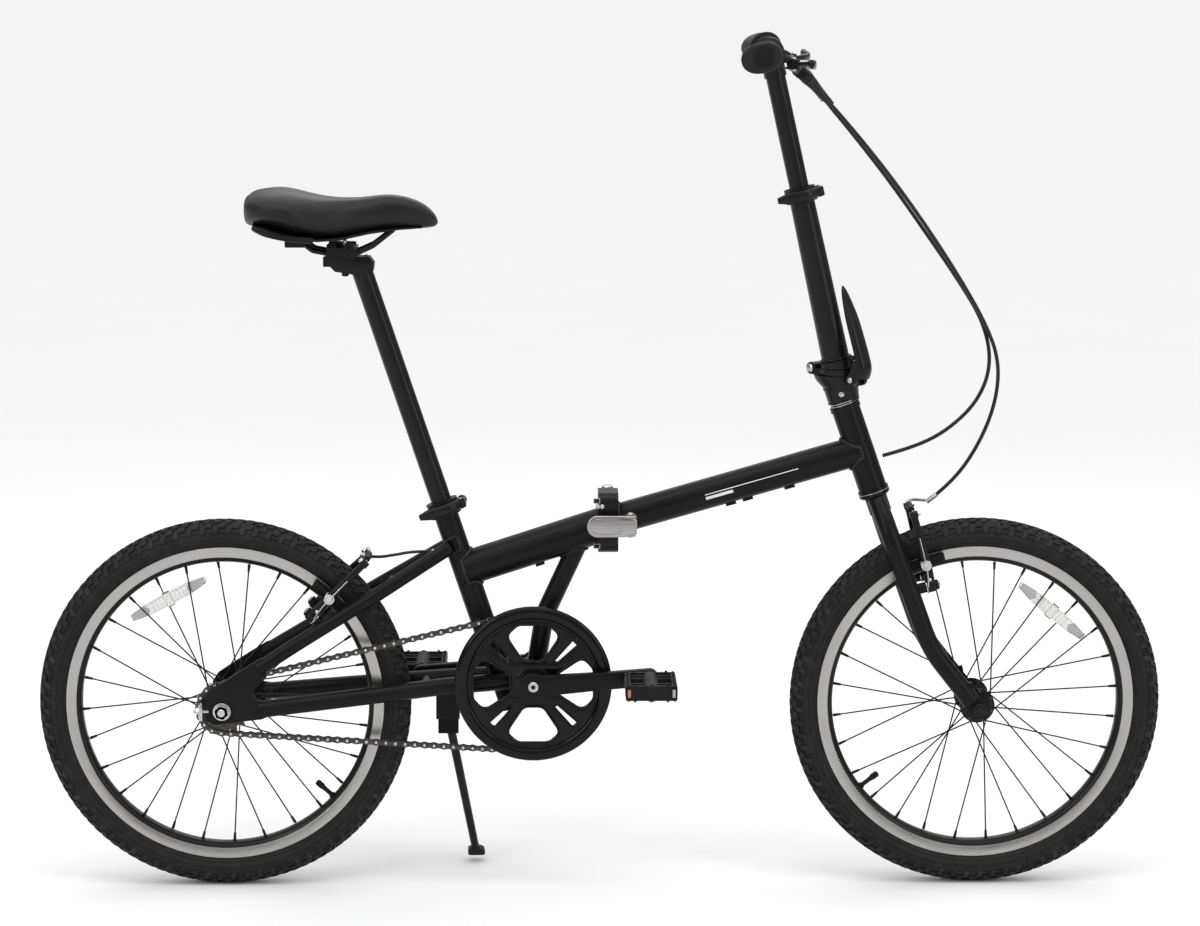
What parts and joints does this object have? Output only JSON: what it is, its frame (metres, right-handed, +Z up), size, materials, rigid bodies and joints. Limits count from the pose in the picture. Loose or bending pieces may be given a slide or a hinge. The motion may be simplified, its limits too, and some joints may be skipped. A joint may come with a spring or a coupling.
{
  "type": "folding bicycle",
  "caption": "Folding bicycle with small wheels, a hinged main tube, a folding telescopic handlepost, rim brakes, single-speed chain drive and kickstand.",
  "frame": {"origin": "on the ground, midway between the wheels, at the centre of the bounding box", "axes": "+X forward towards the front wheel, +Y to the rider's left, +Z up; the chain is on the -Y side"},
  "size_m": [1.4838, 0.5779, 1.1217],
  "materials": {
    "frame_paint": "satin black paint",
    "black_alloy": "satin black anodised alloy",
    "silver_steel": "plated steel",
    "rim_alloy": "machined brake track",
    "black_steel": "black steel",
    "chain_steel": "dark oiled steel",
    "tyre_rubber": "matt rubber",
    "grip_rubber": "matt rubber",
    "gloss_black": "glossy black",
    "black_plastic": "moulded black",
    "saddle_cover": "matt black vinyl",
    "reflector": "clear prismatic plastic",
    "cable_black": "cable housing"
  },
  "bodies": {
    "rear_frame": {"seat_tube": "frame_paint", "rear_main_tube": "frame_paint", "support_strut": "frame_paint", "bottom_bracket": "frame_paint", "chainstays": "frame_paint", "seatstays": "frame_paint", "dropouts": "frame_paint", "stay_bridges_and_bosses": "frame_paint", "rear_hinge_flange": "black_alloy", "seat_clamp": "black_alloy", "chain": "chain_steel", "rear_axle": "silver_steel", "rear_brake_cable_lower": "cable_black"},
    "front_frame": {"front_main_tube": "frame_paint", "head_tube": "frame_paint", "front_hinge_flange": "black_alloy"},
    "frame_latch": {"frame_latch_lever": "silver_steel"},
    "fork": {"fork_steerer": "frame_paint", "fork_blades": "frame_paint", "stem_base_and_spacers": "black_alloy", "front_axle": "black_steel"},
    "front_wheel": {"front_tyre": "tyre_rubber", "front_rim": "rim_alloy", "front_spokes": "black_steel", "front_hub": "black_steel", "front_valve_and_reflector": "reflector"},
    "rear_wheel": {"rear_tyre": "tyre_rubber", "rear_rim": "rim_alloy", "rear_spokes": "black_steel", "rear_hub": "black_steel", "rear_valve_and_reflector": "reflector"},
    "cog": {"rear_cog": "chain_steel"},
    "crank": {"crank_spindle": "silver_steel", "crank_arms": "black_alloy", "chainring": "chain_steel", "chain_guard": "gloss_black"},
    "pedal_right_body": {"pedal_right": "black_plastic"},
    "pedal_left_body": {"pedal_left": "black_plastic"},
    "stem_post": {"handlepost_lower": "black_alloy", "handlepost_clamp": "black_alloy"},
    "stem_latch": {"stem_latch_lever": "black_alloy"},
    "bar_post": {"handlepost_upper": "black_alloy", "handlebar": "black_alloy", "grips": "grip_rubber", "brake_lever_brackets": "black_plastic", "brake_cables_upper": "cable_black"},
    "post_clamp": {"handlepost_clamp_lever": "black_alloy"},
    "lever_right": {"brake_lever_right": "black_alloy"},
    "lever_left": {"brake_lever_left": "black_alloy"},
    "front_arm_right": {"front_brake_arm_right": "black_alloy"},
    "front_arm_left": {"front_brake_arm_left": "black_alloy"},
    "rear_arm_right": {"rear_brake_arm_right": "black_alloy"},
    "rear_arm_left": {"rear_brake_arm_left": "black_alloy"},
    "seat": {"seat_post": "black_alloy", "saddle_clamp": "black_steel", "saddle_rails": "black_steel", "saddle_base": "black_plastic", "saddle_pad": "saddle_cover"},
    "seat_clamp_qr": {"seat_clamp_lever": "black_alloy"},
    "kickstand": {"kickstand_leg": "black_steel"}
  },
  "joints": [
    {"name": "frame_fold", "type": "hinge", "parent": "rear_frame", "child": "front_frame", "pos_m": [0.00915, 0.045, 0.489], "axis": [0, 0, 1], "range_deg": [0, 150]},
    {"name": "frame_latch", "type": "hinge", "parent": "front_frame", "child": "frame_latch", "pos_m": [0.038, -0.0415, 0.489], "axis": [0, 0, 1], "range_deg": [0, 115]},
    {"name": "steer", "type": "hinge", "parent": "front_frame", "child": "fork", "pos_m": [0.3385, 0, 0.5859], "axis": [-0.3289, 0, 0.9444], "range_deg": [-45, 45]},
    {"name": "front_wheel_spin", "type": "hinge", "parent": "fork", "child": "front_wheel", "pos_m": [0.4963, 0, 0.2456], "axis": [0, 1, 0], "continuous": true},
    {"name": "rear_wheel_spin", "type": "hinge", "parent": "rear_frame", "child": "rear_wheel", "pos_m": [-0.4963, 0, 0.2456], "axis": [0, 1, 0], "continuous": true},
    {"name": "crank_spin", "type": "hinge", "parent": "rear_frame", "child": "crank", "pos_m": [-0.0892, 0, 0.2805], "axis": [0, 1, 0], "continuous": true},
    {"name": "cog_spin", "type": "hinge", "parent": "rear_frame", "child": "cog", "pos_m": [-0.4963, -0.043, 0.2456], "axis": [0, 1, 0], "continuous": true},
    {"name": "pedal_right_spin", "type": "hinge", "parent": "crank", "child": "pedal_right_body", "pos_m": [0.06231, -0.126, 0.29269], "axis": [0, 1, 0], "continuous": true},
    {"name": "pedal_left_spin", "type": "hinge", "parent": "crank", "child": "pedal_left_body", "pos_m": [-0.24071, 0.126, 0.26831], "axis": [0, 1, 0], "continuous": true},
    {"name": "stem_fold", "type": "hinge", "parent": "fork", "child": "stem_post", "pos_m": [0.2885, 0.02121, 0.68941], "axis": [0.7071, 0.7071, 0], "range_deg": [-150, 0], "deforming": ["brake_cables_upper"]},
    {"name": "stem_latch", "type": "hinge", "parent": "fork", "child": "stem_latch", "pos_m": [0.33234, -0.02263, 0.67741], "axis": [0.7071, 0.7071, 0], "range_deg": [0, 95]},
    {"name": "post_slide", "type": "slide", "parent": "stem_post", "child": "bar_post", "axis": [-0.2181, 0, 0.9759], "range_m": [-0.12, 0.02]},
    {"name": "post_clamp_turn", "type": "hinge", "parent": "stem_post", "child": "post_clamp", "pos_m": [0.28279, -0.0135, 0.92214], "axis": [-0.2181, 0, 0.9759], "range_deg": [0, 100]},
    {"name": "brake_lever_right_pull", "type": "hinge", "parent": "bar_post", "child": "lever_right", "pos_m": [0.2373, -0.13336, 1.089], "axis": [0, 0, -1], "range_deg": [0, 11.5], "stiffness_Nm_per_rad": 1.5},
    {"name": "brake_lever_left_pull", "type": "hinge", "parent": "bar_post", "child": "lever_left", "pos_m": [0.2525, 0.1302, 1.089], "axis": [0, 0, 1], "range_deg": [0, 11.5], "stiffness_Nm_per_rad": 1.5},
    {"name": "front_arm_right_close", "type": "hinge", "parent": "fork", "child": "front_arm_right", "pos_m": [0.4318, -0.04, 0.4074], "axis": [0.9703, 0, 0.2419], "range_deg": [-2.42, 0]},
    {"name": "front_arm_left_close", "type": "hinge", "parent": "fork", "child": "front_arm_left", "pos_m": [0.4318, 0.04, 0.4074], "axis": [0.9703, 0, 0.2419], "range_deg": [0, 2.42]},
    {"name": "rear_arm_right_close", "type": "hinge", "parent": "rear_frame", "child": "rear_arm_right", "pos_m": [-0.3785, -0.04, 0.3688], "axis": [-0.7071, 0, 0.7071], "range_deg": [0, 2.42]},
    {"name": "rear_arm_left_close", "type": "hinge", "parent": "rear_frame", "child": "rear_arm_left", "pos_m": [-0.3785, 0.04, 0.3688], "axis": [-0.7071, 0, 0.7071], "range_deg": [-2.42, 0]},
    {"name": "seat_slide", "type": "slide", "parent": "rear_frame", "child": "seat", "axis": [-0.3173, 0, 0.9483], "range_m": [-0.16, 0.03]},
    {"name": "seat_clamp_turn", "type": "hinge", "parent": "rear_frame", "child": "seat_clamp_qr", "pos_m": [-0.18317, -0.0135, 0.51393], "axis": [-0.3173, 0, 0.9483], "range_deg": [0, 100]},
    {"name": "kickstand_fold", "type": "hinge", "parent": "rear_frame", "child": "kickstand", "pos_m": [-0.2025, 0.033, 0.214], "axis": [0, 1, 0], "range_deg": [0, 90]}
  ],
  "couplings": [
    {"joint": "cog_spin", "follows": "crank_spin", "ratio": 2.875},
    {"joint": "front_arm_left_close", "follows": "brake_lever_right_pull", "ratio": 0.21},
    {"joint": "front_arm_right_close", "follows": "brake_lever_right_pull", "ratio": -0.21},
    {"joint": "rear_arm_right_close", "follows": "brake_lever_left_pull", "ratio": 0.21},
    {"joint": "rear_arm_left_close", "follows": "brake_lever_left_pull", "ratio": -0.21}
  ]
}
